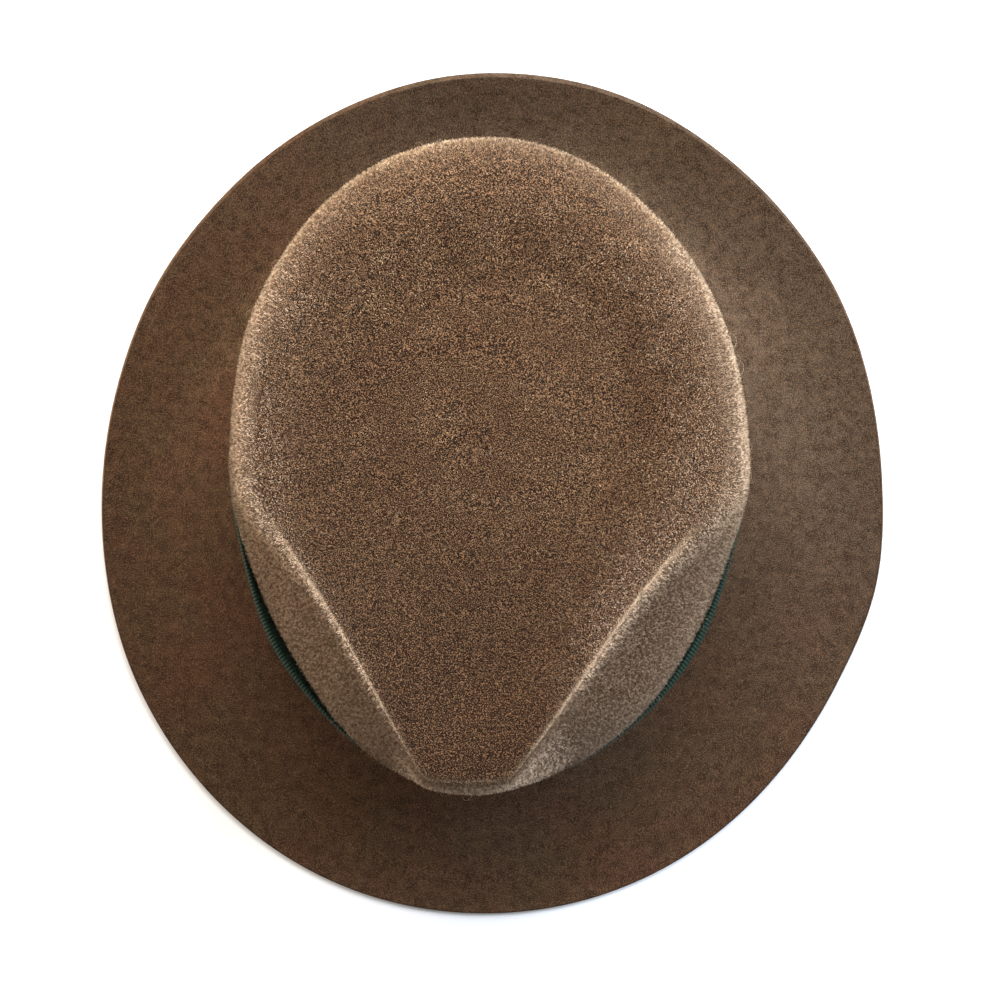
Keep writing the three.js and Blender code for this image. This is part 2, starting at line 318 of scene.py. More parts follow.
# %% [markdown]
# ## The felt surface
#
# Felt has no sharp edges: even the hardest crease is bent round the thickness of the cloth. Each
# direction's line from the middle of the top to the cut edge is laid out finely, rounded along its own
# length like a cloth drawn over a thread, and only then cut into rings. The crease on the wearer's right
# was pressed harder than the left, and both run out into a rounder nose.

# %% Stations and profiles
DIRECTIONS = 380
FRONT_CROWDING = 0.5  # the directions lie closer together in front by this share
EVEN = np.arange(DIRECTIONS) * 360 / DIRECTIONS
STATIONS = EVEN - FRONT_CROWDING * np.degrees(cosine(EVEN))
BACKWARD = sine(STATIONS)  # 1 at the back and -1 in front

PATH_POINTS = 760
CREASE_ROUNDING = {"right": 0.8, "left": 1.2, "nose": 2.5}  # standard deviation of the rounding, in mm
REACH = 4  # standard deviations to which the rounding is carried
SIDES_MEET = 0.35  # cosine of a direction past which only its own side's rounding counts
NOSE_AT = 267.0
FROM_NOSE = np.abs(STATIONS - NOSE_AT)  # in degrees
NOSE_ROUNDING = {"beside": (6, 22), "from_rim": (15, 25)}  # full up to the first, none past the second


def shares(count):
    return np.linspace(0, 1, count)[:, None]


# The top, the crown's side, its foot and the brim, laid out in far more points than the mesh gets
PROFILE_PARTS = (
    top_points(STATIONS, shares(200)),
    side_points(STATIONS, 1 - shares(240) ** 2),
    foot_points(STATIONS, shares(24)),
    brim_points(STATIONS, shares(240)),
)
print(len(PROFILE_PARTS), "stretches in", DIRECTIONS, "directions")


# %% Rounding the profiles
def even_path(path):
    """The same paths with evenly spaced points, and each path's length."""
    steps = np.linalg.norm(np.diff(path, axis=0), axis=2)
    along = np.vstack([np.zeros(path.shape[1]), np.cumsum(steps, axis=0)])
    even = np.empty((PATH_POINTS, path.shape[1], 3))
    for j in range(path.shape[1]):
        wanted = np.linspace(0, along[-1, j], PATH_POINTS)
        for axis in range(3):
            even[:, j, axis] = np.interp(wanted, along[:, j], path[:, j, axis])
    return even, along


def rounded_path(path, deviation, spacing):
    """Paths smoothed along their length. Past each end they go on as their own mirror image."""
    reach = int(REACH * deviation / spacing) + 1
    kernel = np.exp(-0.5 * (np.arange(-reach, reach + 1) * spacing / deviation) ** 2)
    before = 2 * path[0] - path[reach:0:-1]
    after = 2 * path[-1] - path[-2 : -reach - 2 : -1]
    padded = np.concatenate([before, path, after])
    windows = [weight * padded[k : k + len(path)] for k, weight in enumerate(kernel)]
    return sum(windows) / kernel.sum()


full_path = np.concatenate([PROFILE_PARTS[0]] + [part[1:] for part in PROFILE_PARTS[1:]])
path, along = even_path(full_path)
spacing = along[-1].mean() / PATH_POINTS
leftness = smooth_step(cosine(STATIONS), -SIDES_MEET, SIDES_MEET)[:, None]
rounded = {name: rounded_path(path, deviation, spacing) for name, deviation in CREASE_ROUNDING.items()}
rim_along = along[len(PROFILE_PARTS[0]) - 1]
from_rim = np.abs(shares(PATH_POINTS) * along[-1] - rim_along)
at_nose = near(FROM_NOSE, *NOSE_ROUNDING["beside"]) * near(from_rim, *NOSE_ROUNDING["from_rim"])
path = (1 - leftness) * rounded["right"] + leftness * rounded["left"]
path = path + at_nose[..., None] * (rounded["nose"] - path)
print(f"profiles {along[-1].min():.0f} to {along[-1].max():.0f} mm long, a point every {spacing:.2f} mm")

# %% Rings of the outer face
# Shares of each stretch at which a ring lies, closer together at the rim, at the foot and at the cut edge
RING_SHARES = (
    1 - np.linspace(1, 0, 37)[1:-1] ** 1.3,
    np.linspace(0, 1, 45)[:-1] ** 1.4,
    np.linspace(0, 1, 7)[:-1],
    1 - (1 - np.linspace(0, 1, 41)) ** 1.2,
)


def ring_places():
    """For each ring and direction, the share of the whole profile at which it lies, and its stretch."""
    ends = np.cumsum([len(part) - 1 for part in PROFILE_PARTS])
    marks = np.vstack([np.zeros(DIRECTIONS)] + [along[end] for end in ends]) / along[-1]
    places, stretches = [], []
    for k, ring_shares in enumerate(RING_SHARES):
        for share in ring_shares:
            places.append(marks[k] + (marks[k + 1] - marks[k]) * share)
            stretches.append(k)
    return np.array(places), np.array(stretches)


def points_at(path, places):
    """Points of each direction's path at shares of its length."""
    exact = places * (len(path) - 1)
    low = np.clip(exact.astype(int), 0, len(path) - 2)
    t = (exact - low)[..., None]
    columns = np.arange(path.shape[1])
    return path[low, columns] * (1 - t) + path[low + 1, columns] * t


places, stretch_of_ring = ring_places()
outer = points_at(path, places)
CROWN_RINGS = stretch_of_ring < 2
BRIM_RINGS = stretch_of_ring == 3
print(len(outer), "rings of", DIRECTIONS, "points")

# %% [markdown]
# A blocked hat is never quite even. The steam, the fingers and a few weeks on a shelf leave soft
# swellings a hand's breadth wide. A slow noise, half a millimetre deep on the crown and a little more on
# the brim, pushes the surface in and out along its own direction. The strip that the hat rests on stays
# level.

# %% Soft unevenness
UNEVEN = {"crown_depth": 0.7, "crown_size": 38.0, "brim_depth": 0.8, "brim_size": 46.0, "seed": 4.7}
LEVEL_RISE = 3.0  # the brim is uneven to its full depth from this height above the strip that rests
NAP_DEPTH = 0.8  # the nap's tips give the crown its measured outline, so its felt lies this far below them
NORMAL_EVENING = 6  # times that the directions are averaged with their neighbours
# Heights above the foot between which each of these sets in, clear of the ribbon
SETS_IN = {"unevenness": (24, 40), "nap_depth": (29, 36), "crease": (30, 40), "nap": (28, 30)}


def grid_normals(points):
    """Outward directions of a grid of rings, each ring closed on itself."""
    along_ring = np.roll(points, -1, axis=1) - np.roll(points, 1, axis=1)
    down = np.gradient(points, axis=0)
    normal = np.cross(down, along_ring)
    return normal / np.linalg.norm(normal, axis=-1, keepdims=True)


def slow_noise(points, size, seed):
    flat = (points / size).reshape(-1, 3) + seed
    values = np.array([noise.noise(Vector(point)) for point in flat])
    return values.reshape(points.shape[:-1])


def evened(normals):
    for _ in range(NORMAL_EVENING):
        padded = np.concatenate([normals[:1], normals, normals[-1:]])
        normals = padded[:-2] + padded[2:] + 2 * normals
        normals = normals + 0.5 * (np.roll(normals, 1, axis=1) + np.roll(normals, -1, axis=1))
        normals = normals / np.linalg.norm(normals, axis=-1, keepdims=True)
    return normals


def above_foot():
    """Height of the outer face's points above the foot of the crown."""
    return outer[..., 2] - foot_height(STATIONS)


depth = np.where(BRIM_RINGS, UNEVEN["brim_depth"], UNEVEN["crown_depth"])[:, None]
size = np.where(BRIM_RINGS, UNEVEN["brim_size"], UNEVEN["crown_size"])[:, None, None]
swelling = depth * slow_noise(outer, size, UNEVEN["seed"])
swelling[stretch_of_ring == 2] = 0
lifted = np.clip((outer[..., 2] - FELT) / LEVEL_RISE, 0, 1)
swelling *= np.where(BRIM_RINGS[:, None], lifted, smooth_step(above_foot(), *SETS_IN["unevenness"]))
print(f"unevenness {swelling.min():.2f} to {swelling.max():.2f} mm")
swelling -= NAP_DEPTH * smooth_step(above_foot(), *SETS_IN["nap_depth"]) * CROWN_RINGS[:, None]
outer = outer + swelling[..., None] * evened(grid_normals(outer))

# %% [markdown]
# ## A wall of felt
#
# The body is one closed wall: the outer face, the cut edge, and the inner face, which lies one felt's
# thickness inside. Solidify could make it, but inside a tight crease it crosses itself. Here the
# directions are evened out over a few rings first, so that the inner crease stays round, as it does in
# real felt.

# %% Inner face and cut edge
EDGE_ROUNDING = 0.35
INNER_STEP = 2  # the inner face has every second ring
normals = evened(grid_normals(outer))
inner = outer - FELT * normals
inner[..., 2] = np.maximum(inner[..., 2], 0)


def cut_edge():
    """Rings round the cut edge of the brim, from the outer face to the inner, with its corners eased."""
    outward = outer[-1] - outer[-2]
    outward = outward / np.linalg.norm(outward, axis=1, keepdims=True)
    top, bottom, normal = outer[-1], inner[-1], normals[-1]
    return np.array([
        top - EDGE_ROUNDING * outward,
        top - EDGE_ROUNDING * (0.4 * outward + 0.1 * normal),
        top - EDGE_ROUNDING * normal,
        bottom + EDGE_ROUNDING * normal,
        bottom - EDGE_ROUNDING * outward,
    ])


edge = cut_edge()
edge[..., 2] = np.maximum(edge[..., 2], 0)
inside = inner[:-1][::-1][::INNER_STEP]
print(len(inside), "rings inside and", len(edge), "round the edge")

# %% Tight creases
CREASE_RADIUS = 2.3  # a bend this tight, in mm, counts as a full crease
NOSE_CREASE = {"share": 0.25, "beside": (6, 16)}  # the rounder nose has hardly a crease


def crease_of_rings():
    """0 on flat felt and 1 where the outer face is bent tightly outward."""
    direct = grid_normals(outer)
    turned = direct[2:] - direct[:-2]
    walked = outer[2:] - outer[:-2]
    bend = np.linalg.norm(turned, axis=-1) / np.linalg.norm(walked, axis=-1) * CREASE_RADIUS
    tight = np.zeros(outer.shape[:2])
    tight[1:-1] = np.where(np.sum(turned * walked, axis=-1) > 0, np.clip(bend, 0, 1) ** 2, 0)
    beside_nose = 1 - (1 - NOSE_CREASE["share"]) * near(FROM_NOSE, *NOSE_CREASE["beside"])
    return tight * smooth_step(above_foot(), *SETS_IN["crease"]) * CROWN_RINGS[:, None] * beside_nose


print(f"{(crease_of_rings() > 0.5).sum()} points on a tight crease")

# %% Painted sheen on the rims
# How far from the rim the sheen is painted, in mm, and how strongly, as a share of the rim at the wearer's
# left
RIM_FADE = {"usual": 19.0, "right_front": 8.0, "down_the_side": 34.0, "down_a_pinch": 14.0}
RIM_SHEEN = {"right": 0.7, "behind": 0.15, "pinch": 0.23, "chin": 0.68}
CHIN = {"from": (-2, 14), "to": (36, 60)}  # mm below the rim between which it sets in, and ends
# Sines of the directions between which something changes, forward or backward
TO_FRONT = {"fade": (0, 0.3), "rim": (0.85, 0.98), "pinch": (0.93, 0.995), "chin": (0.92, 0.99)}
TO_BACK = (0.6, 0.95)


def rim_sheen_of_rings():
    """Painted sheen of the felt: most on the rim of the top, less on the pinched sides and under the nose.
    """
    past_rim = places * along[-1] - rim_along
    left = leftness[:, 0]
    fold = np.clip(around(CROWN, "fold", STATIONS), 0, 1)
    right_front = (1 - left) * smooth_step(-BACKWARD, *TO_FRONT["fade"])
    above = RIM_FADE["usual"] + (RIM_FADE["right_front"] - RIM_FADE["usual"]) * right_front
    below = RIM_FADE["down_the_side"] + (RIM_FADE["down_a_pinch"] - RIM_FADE["down_the_side"]) * fold
    most = (RIM_SHEEN["right"] + (1 - RIM_SHEEN["right"]) * left) * near(-BACKWARD, *TO_FRONT["rim"])
    most = most * (1 - (1 - RIM_SHEEN["behind"]) * smooth_step(BACKWARD, *TO_BACK))
    rim = smooth_step(1 - np.abs(past_rim) / np.where(past_rim > 0, below, above), 0, 1) * most
    pinch = RIM_SHEEN["pinch"] * fold * near(-BACKWARD, *TO_FRONT["pinch"]) * (past_rim > 0)
    chin = RIM_SHEEN["chin"] * smooth_step(-BACKWARD, *TO_FRONT["chin"])
    chin = chin * smooth_step(past_rim, *CHIN["from"]) * near(past_rim, *CHIN["to"])
    return np.maximum(np.maximum(rim, pinch), chin) * CROWN_RINGS[:, None]


print(f"{(rim_sheen_of_rings() > 0.5).sum()} points well rubbed")

# %% Where nap grows
# The brim was pounced smoother than the crown, and no nap stands under the ribbon or inside
NAP = {"crown": 1.0, "brim": 0.12, "crease": 0.9, "rim": 0.3}


def nap_of_rings():
    from_crown = np.hypot(outer[..., 0], outer[..., 1]) - head_radius(STATIONS) - FOOT_BEND
    fuller = NAP["crease"] * crease_of_rings() + NAP["rim"] * rim_sheen_of_rings()
    crown = (NAP["crown"] + fuller) * smooth_step(above_foot(), *SETS_IN["nap"])
    brim = NAP["brim"] * smooth_step(from_crown, 0, 2)
    nap = np.where(CROWN_RINGS[:, None], crown, np.where(BRIM_RINGS[:, None], brim, 0))
    return np.concatenate([nap[:-1], np.zeros(edge.shape[:2]), np.zeros(inside.shape[:2])])


# %% Making meshes
def put_in_scene(name, data):
    made = bpy.data.objects.new(name, data)
    bpy.context.scene.collection.objects.link(made)
    return made


def new_piece(name, points_mm, faces, material=None):
    """A mesh object at the origin, from points in millimetres."""
    mesh = bpy.data.meshes.new(name)
    mesh.from_pydata((points_mm * MM).tolist(), [], faces)
    mesh.shade_smooth()
    mesh.update()
    if material:
        mesh.materials.append(material)
    return put_in_scene(name, mesh)


def ring_faces(rows, columns, closed_rows=False, closed_columns=True):
    """Four-sided faces between neighbouring rings."""
    i = np.arange(rows if closed_rows else rows - 1)[:, None]
    j = np.arange(columns if closed_columns else columns - 1)[None, :]
    below, beside = (i + 1) % rows, (j + 1) % columns
    corners = [i * columns + j, below * columns + j, below * columns + beside, i * columns + beside]
    return np.stack(np.broadcast_arrays(*corners), axis=-1).reshape(-1, 4).tolist()


# %% The felt body
rings = np.concatenate([outer[:-1], edge, inside])
shift = np.zeros(3)
shift[:2] = -(rings.reshape(-1, 3)[:, :2].min(axis=0) + rings.reshape(-1, 3)[:, :2].max(axis=0)) / 2


def felt_faces():
    """The rings' faces, and a fan at the middle of the top, outside and inside."""
    faces = ring_faces(len(rings), DIRECTIONS)
    top, under = rings.shape[0] * DIRECTIONS, rings.shape[0] * DIRECTIONS + 1
    last = (len(rings) - 1) * DIRECTIONS
    for j in range(DIRECTIONS):
        beside = (j + 1) % DIRECTIONS
        faces.append([top, j, beside])
        faces.append([under, last + beside, last + j])
    return faces


middle = path[0, 0]
poles = np.array([middle, middle - (0, 0, FELT)])
felt_points = np.concatenate([rings.reshape(-1, 3), poles]) + shift
felt = new_piece("felt", felt_points, felt_faces())


def store(piece, name, values):
    """Keeps one number for each point of a piece's mesh, for nodes and materials to read."""
    attribute = piece.data.attributes.new(name, "FLOAT", "POINT")
    attribute.data.foreach_set("value", np.ascontiguousarray(values, dtype=np.float32).ravel())


# The rim keeps the painted sheen of the rims
for name, values in (("crease", crease_of_rings()), ("rim", rim_sheen_of_rings())):
    everywhere = np.zeros(rings.shape[:2])
    everywhere[: len(outer) - 1] = values[:-1]
    store(felt, name, np.append(everywhere.ravel(), [0, 0]))
# Painted shade on the cut edge and the whole inner face
shaded_inside = np.zeros(rings.shape[:2])
shaded_inside[len(outer) - 1 :] = 1
store(felt, "shaded_inside", np.append(shaded_inside.ravel(), [0, 1]))
store(felt, "nap", np.append(nap_of_rings().ravel(), [NAP["crown"], 0]))
print("felt triangles:", sum(len(face.vertices) - 2 for face in felt.data.polygons))

# %% [markdown]
# ## Colour and surface of the felt
#
# Wool felt has no gloss at all. Its colour is made by the eye from fibres that were dyed before they were
# felted, so it is never flat: reddish and olive patches as wide as a hand's palm, clumps of a few
# millimetres, and a salt-and-pepper grain, which brushing draws out downward on the crown's side. Painted
# light adds the rest: a paler, greyer side where the bluish lamp falls, painted shade in front, between the
# fibres and on the cut edge and underside, and a pale crease line that is partly wear, partly a painted
# highlight.
#
# An image could carry this, but three noises in the piece's own space have no seam and keep their real
# scale. The colours are laid over each other one by one, each by a share that comes from a noise or from
# a number kept on the mesh. The sheen stands for the finest down, which is thinner than any fibre that is
# modelled here.


# %% Nodes and colours
def linear(hex_colour):
    """An sRGB hex colour as the linear colour that a shader takes."""
    channels = [int(hex_colour[i : i + 2], 16) / 255 for i in (1, 3, 5)]
    return (*(c / 12.92 if c <= 0.04045 else ((c + 0.055) / 1.055) ** 2.4 for c in channels), 1)


def add(tree, kind, inputs=None, **settings):
    """A node with its settings. Its inputs go by name or number, or are a tuple of the first ones.

    An input is a value, a socket, or a node whose first output is meant.
    """
    made = tree.nodes.new(kind)
    for name, value in settings.items():
        setattr(made, name, value)
    given = dict(enumerate(inputs)) if isinstance(inputs, tuple) else inputs
    for key, value in (given or {}).items():
        source = value.outputs[0] if isinstance(value, bpy.types.Node) else value
        if isinstance(source, bpy.types.NodeSocket):
            tree.links.new(source, made.inputs[key])
        else:
            made.inputs[key].default_value = source
    return made


def new_material(name):
    """An empty material, as (material, tree)."""
    material = bpy.data.materials.new(name)
    material.use_nodes = True
    material.node_tree.nodes.clear()
    return material, material.node_tree


# %% Wool felt
FELT_COLOURS = {
    "red": "#704e39",
    "olive": "#68533b",
    "painted_lit_side": "#70604e",
    # dark also serves as painted shade: between the fibres, in front, and on the cut edge and inside
    "dark": "#1c0e06",
    "light": "#9e7654",
    "worn_and_highlit": "#bda488",
}
MOTTLE_MM, CLUMP_MM, GRAIN_MM = 34, 3.5, 0.35  # real grain is finer, but would not show at this distance
BRUSHED_DOWN = (1, 1, 0.35)
# Painted light: the felt is painted paler and greyer on the side that the bluish right lamp lights
LIT_SIDE = (0.8, 0.6, 0)  # from the wearer's left round to the back
SHADE_IN_NAP, LESS_AT_RIM = 0.78, 0.45  # painted shade between the standing fibres, and less of it where the rim's sheen is painted
INSIDE_SHADE_SHARE = 0.4


def uneven_felt(tree, soft_sizes, brushed_size):
    """The place on the hat, and noises of its felt: soft ones, and one that is drawn out by brushing."""
    place = add(tree, "ShaderNodeTexCoord").outputs["Object"]
    brushed = add(tree, "ShaderNodeVectorMath", (place, BRUSHED_DOWN), operation="MULTIPLY")
    noises = [
        add(
            tree,
            "ShaderNodeTexNoise",
            {"Vector": where, "Scale": 1 / (size_mm * MM), "Detail": detail, "Roughness": 0.6},
        )
        for where, size_mm, detail in (
            *((place, size_mm, 3.0) for size_mm in soft_sizes),
            (brushed, brushed_size, 0.0),
        )
    ]
    return place, *noises


wool_felt, tree = new_material("brushed wool felt")
place, mottle, clump, grain = uneven_felt(tree, (MOTTLE_MM, CLUMP_MM), GRAIN_MM)
napped, rim, creased, shaded_inside = (
    add(tree, "ShaderNodeAttribute", attribute_name=name).outputs["Fac"]
    for name in ("nap", "rim", "crease", "shaded_inside")
)
backward = add(tree, "ShaderNodeSeparateXYZ", {0: place}).outputs["Y"]
towards_lit_side = add(tree, "ShaderNodeVectorMath", (place, LIT_SIDE), operation="DOT_PRODUCT")

# %% How much of each colour the felt takes
# Each row: what is read, the two ends of its range, and the share at each end
patch, painted_lit_side, clumped, contrast, paler, darker, painted_front_shade, on_tips = (
    add(
        tree,
        "ShaderNodeMapRange",
        {"Value": value, "From Min": start, "From Max": end, "To Min": first, "To Max": last},
    )
    for value, start, end, first, last in (
        (mottle, 0.38, 0.62, 0.0, 1.0),
        # painted light, paler and greyer towards the lit side
        (towards_lit_side.outputs["Value"], 25 * MM, 95 * MM, 0.0, 0.85),
        (clump, 0.34, 0.66, 0.6, 0.0),
        (napped, 0.0, 1.0, 0.42, 1.0),
        (grain, 0.53, 0.68, 0.0, 1.0),
        (grain, 0.5, 0.34, 0.0, 1.0),
        # painted shade, darker towards the front of the hat
        (backward, 140 * MM, -20 * MM, 0.0, 0.5),
        (grain, 0.35, 0.6, 0.35, 1.0),
    )
)
salt, pepper, worn_and_highlit, inside_shade, sheened = (
    add(tree, "ShaderNodeMath", (first, second), operation="MULTIPLY")
    for first, second in (
        (paler, contrast),
        (darker, contrast),
        # pale crease line: partly wear, partly a painted highlight where the crease catches light
        (creased, on_tips),
        # painted shade on the cut edge and inside
        (shaded_inside, INSIDE_SHADE_SHARE),
        # painted sheen: less painted shade where the rim's sheen is
        (rim, LESS_AT_RIM),
    )
)
# Painted shade between the standing fibres
depth = add(tree, "ShaderNodeMath", (napped, sheened), operation="SUBTRACT", use_clamp=True)
painted_nap_shade = add(tree, "ShaderNodeMath", (depth, SHADE_IN_NAP), operation="MULTIPLY")

# %% The felt's colours, laid over each other
colour = linear(FELT_COLOURS["red"])
for share, name in (
    (patch, "olive"),
    (painted_lit_side, "painted_lit_side"),
    (clumped, "dark"),
    (painted_nap_shade, "dark"),
    (pepper, "dark"),
    (salt, "light"),
    (painted_front_shade, "dark"),
    (worn_and_highlit, "worn_and_highlit"),
    (inside_shade, "dark"),
):
    layer = {"Factor": share, 6: colour, 7: linear(FELT_COLOURS[name])}
    colour = add(tree, "ShaderNodeMix", layer, data_type="RGBA").outputs[2]
soft = add(tree, "ShaderNodeBump", {"Height": clump, "Distance": 0.5 * MM, "Strength": 0.6})
rough = add(tree, "ShaderNodeBump", {"Height": grain, "Distance": 0.3 * MM, "Strength": 0.8, "Normal": soft})
surface = add(
    tree,
    "ShaderNodeBsdfPrincipled",
    {
        "Base Color": colour,
        "Roughness": 0.95,
        "Specular IOR Level": 0.15,
        "Sheen Weight": 0.5,
        "Sheen Roughness": 0.35,
        "Sheen Tint": linear("#dcb48c"),
        "Normal": rough,
    },
)
add(tree, "ShaderNodeOutputMaterial", {"Surface": surface})
felt.data.materials.append(wool_felt)
print("felt patterns, mm:", MOTTLE_MM, CLUMP_MM, GRAIN_MM)

# %% [markdown]
# ## The nap
#
# On the real hat the nap is what brushing pulls out of the felt: fibres up to a millimetre or so long,
# which lean one way in one place and another way in the next. A particle system could grow them, but
# Geometry Nodes leave plain meshes. One tree scatters points where the felt says that nap grows, stands a
# blade on each and gives it a tint. It runs four times, twice for a short undercoat and twice for a
# longer topcoat, so that no piece grows too big. Each blade is one or two triangles, because there are a
# few hundred thousand of them.


# %% Beginning and ending a tree
def new_tree(name, geometry, numbers, whole_numbers=()):
    """A geometry tree with named inputs, as (tree, its inputs by name). Every tree takes a material."""
    tree = bpy.data.node_groups.new(name, "GeometryNodeTree")
    kinds = {geometry: "Geometry", **dict.fromkeys(numbers, "Float")}
    kinds.update(dict.fromkeys(whole_numbers, "Int"), Material="Material")
    for input_name, kind in kinds.items():
        tree.interface.new_socket(input_name, in_out="INPUT", socket_type="NodeSocket" + kind)
    tree.interface.new_socket("Result", in_out="OUTPUT", socket_type="NodeSocketGeometry")
    return tree, add(tree, "NodeGroupInput").outputs


def end_tree(tree, instances, material):
    """Every tree ends the same way: real meshes, with their material set."""
    real = add(tree, "GeometryNodeRealizeInstances", {"Geometry": instances})
    painted = add(tree, "GeometryNodeSetMaterial", {"Geometry": real, "Material": material})
    add(tree, "NodeGroupOutput", {0: painted})


# %% Fibres on felt
def roots_on_felt(tree, given):
    """Points on the felt, closer together where more nap grows, and how much grows at each."""
    grows = add(tree, "GeometryNodeInputNamedAttribute", {"Name": "nap"}, data_type="FLOAT")
    density = add(tree, "ShaderNodeMath", (given["Density"], grows), operation="MULTIPLY")
    wanted = {"Mesh": given["Felt"], "Density": density, "Seed": given["Seed"]}
    return add(tree, "GeometryNodeDistributePointsOnFaces", wanted), grows


def plant(tree, given, roots, fibre, turn, size, tint):
    """Stands a fibre on each root, turned from the felt's own direction, and ends the tree."""
    turned = add(tree, "FunctionNodeEulerToRotation", {"Euler": turn})
    stands = add(
        tree,
        "FunctionNodeRotateRotation",
        {"Rotation": roots.outputs["Rotation"], "Rotate By": turned},
        rotation_space="LOCAL",
    )
    fibres = add(
        tree,
        "GeometryNodeInstanceOnPoints",
        {"Points": roots, "Instance": fibre, "Rotation": stands, "Scale": size},
    )
    tinted = add(
        tree,
        "GeometryNodeStoreNamedAttribute",
        {"Geometry": fibres, "Name": "tint", "Value": tint},
        data_type="FLOAT",
        domain="INSTANCE",
    )
    end_tree(tree, tinted, given["Material"])
    print(f"{tree.name}: {len(tree.nodes)} nodes")


# %% The tree that grows nap
nap_tree, given = new_tree(
    "Nap",
    "Felt",
    ("Density", "Length", "Length Spread", "Width", "Lift Low", "Lift High")
    + ("Arch", "Swirl Size", "Spin Spread"),
    ("Corners", "Seed"),
)
roots, grows = roots_on_felt(nap_tree, given)

# %% One blade, from its root at the origin to its tip along X
wanted = {"Vertices": given["Corners"], "Radius": 1.0}
corners = add(nap_tree, "GeometryNodeMeshCircle", wanted, fill_type="NGON")
corner = add(nap_tree, "ShaderNodeSeparateXYZ", {0: add(nap_tree, "GeometryNodeInputPosition")})
measured = {"Geometry": corners, 2: corner.outputs["X"]}
extent = add(nap_tree, "GeometryNodeAttributeStatistic", measured, data_type="FLOAT")
along_blade = add(
    nap_tree,
    "ShaderNodeMapRange",
    {"Value": corner.outputs["X"], "From Min": extent.outputs["Min"], "From Max": 1.0},
)
to_tip = add(nap_tree, "ShaderNodeMath", (1.0, along_blade), operation="SUBTRACT")
hump = add(nap_tree, "ShaderNodeMath", (along_blade, to_tip), operation="MULTIPLY")
raised = add(nap_tree, "ShaderNodeMath", (hump, given["Arch"]), operation="MULTIPLY")
laid = add(nap_tree, "ShaderNodeCombineXYZ", {"X": along_blade, "Y": corner.outputs["Y"], "Z": raised})
bent = add(nap_tree, "GeometryNodeSetPosition", {"Geometry": corners, "Position": laid})
blade = add(nap_tree, "GeometryNodeTriangulate", {"Mesh": bent})

# %% How each blade stands
SPIN_BY_SWIRL = 14.0  # radians between the two ends of the noise
SHORTEST = 0.4  # share of the length where hardly any nap grows
FIRST, LAST, SEED = 2, 3, 8  # places of a random number's limits and seed among its sockets

spun_back = add(nap_tree, "ShaderNodeMath", (given["Spin Spread"], -1.0), operation="MULTIPLY")
shorter = add(nap_tree, "ShaderNodeMath", (1.0, given["Length Spread"]), operation="SUBTRACT")
longer = add(nap_tree, "ShaderNodeMath", (1.0, given["Length Spread"]), operation="ADD")
# Limits of the spin, the lift, the length and the tint, each drawn with a seed of its own
LIMITS = (
    (spun_back, given["Spin Spread"]),
    (given["Lift Low"], given["Lift High"]),
    (shorter, longer),
    (0.0, 1.0),
)
drawn = []
for step, (low, high) in enumerate(LIMITS):
    seed = add(nap_tree, "ShaderNodeMath", (given["Seed"], float(step)), operation="ADD")
    drawn.append(add(nap_tree, "FunctionNodeRandomValue", {FIRST: low, LAST: high, SEED: seed}).outputs[1])
scattered, lift, stretched, tint = drawn

swirl_scale = add(nap_tree, "ShaderNodeMath", (1.0, given["Swirl Size"]), operation="DIVIDE")
swirl = add(nap_tree, "ShaderNodeTexNoise", {"Scale": swirl_scale, "Detail": 1.0})
spin = add(nap_tree, "ShaderNodeMath", (swirl, SPIN_BY_SWIRL, scattered), operation="MULTIPLY_ADD")
tipped = add(nap_tree, "ShaderNodeMath", (lift, -1.0), operation="MULTIPLY")
turn = add(nap_tree, "ShaderNodeCombineXYZ", {"Y": tipped, "Z": spin})
grown = add(nap_tree, "ShaderNodeMapRange", {"Value": grows, "To Min": SHORTEST, "To Max": 1.0})
grown_length = add(nap_tree, "ShaderNodeMath", (given["Length"], grown), operation="MULTIPLY")
length = add(nap_tree, "ShaderNodeMath", (grown_length, stretched), operation="MULTIPLY")
half_width = add(nap_tree, "ShaderNodeMath", (given["Width"], 0.5), operation="MULTIPLY")
size = add(nap_tree, "ShaderNodeCombineXYZ", {"X": length, "Y": half_width, "Z": length})
plant(nap_tree, given, roots, blade, turn, size, tint)


# %% Running a tree on a piece
def grow(name, tree, source, sizes):
    """Runs a tree on a piece's mesh and keeps the result as a plain mesh of its own."""
    piece = put_in_scene(name, source.data)
    modifier = piece.modifiers.new(name, "NODES")
    modifier.node_group = tree
    for item in tree.interface.items_tree:
        if item.in_out == "INPUT" and item.name in sizes:
            modifier[item.identifier] = sizes[item.name]
    depsgraph = bpy.context.evaluated_depsgraph_get()
    mesh = bpy.data.meshes.new_from_object(
        piece.evaluated_get(depsgraph), preserve_all_data_layers=True, depsgraph=depsgraph
    )
    piece.modifiers.remove(modifier)
    piece.data = mesh
    mesh.name = name
    print(f"{name}: {sum(len(face.vertices) - 2 for face in mesh.polygons)} triangles")
    return piece


# %% Nap fibre
# Single wool fibres, some bleached and some dark, dull but a little brighter where light grazes them.
# They cling together in small locks of one shade and come in paler and darker patches. Shade is painted
# on them towards the front, and a pale painted sheen along the rims
LOCK_MM = 1.0
BY_LOCK = 0.6  # share of a fibre's shade that it takes from its lock
SHEEN_PALE = "#f3dcc0"
SHEEN_PALING = 1.8  # how quickly a fibre reaches the painted sheen as the rim's sheen grows
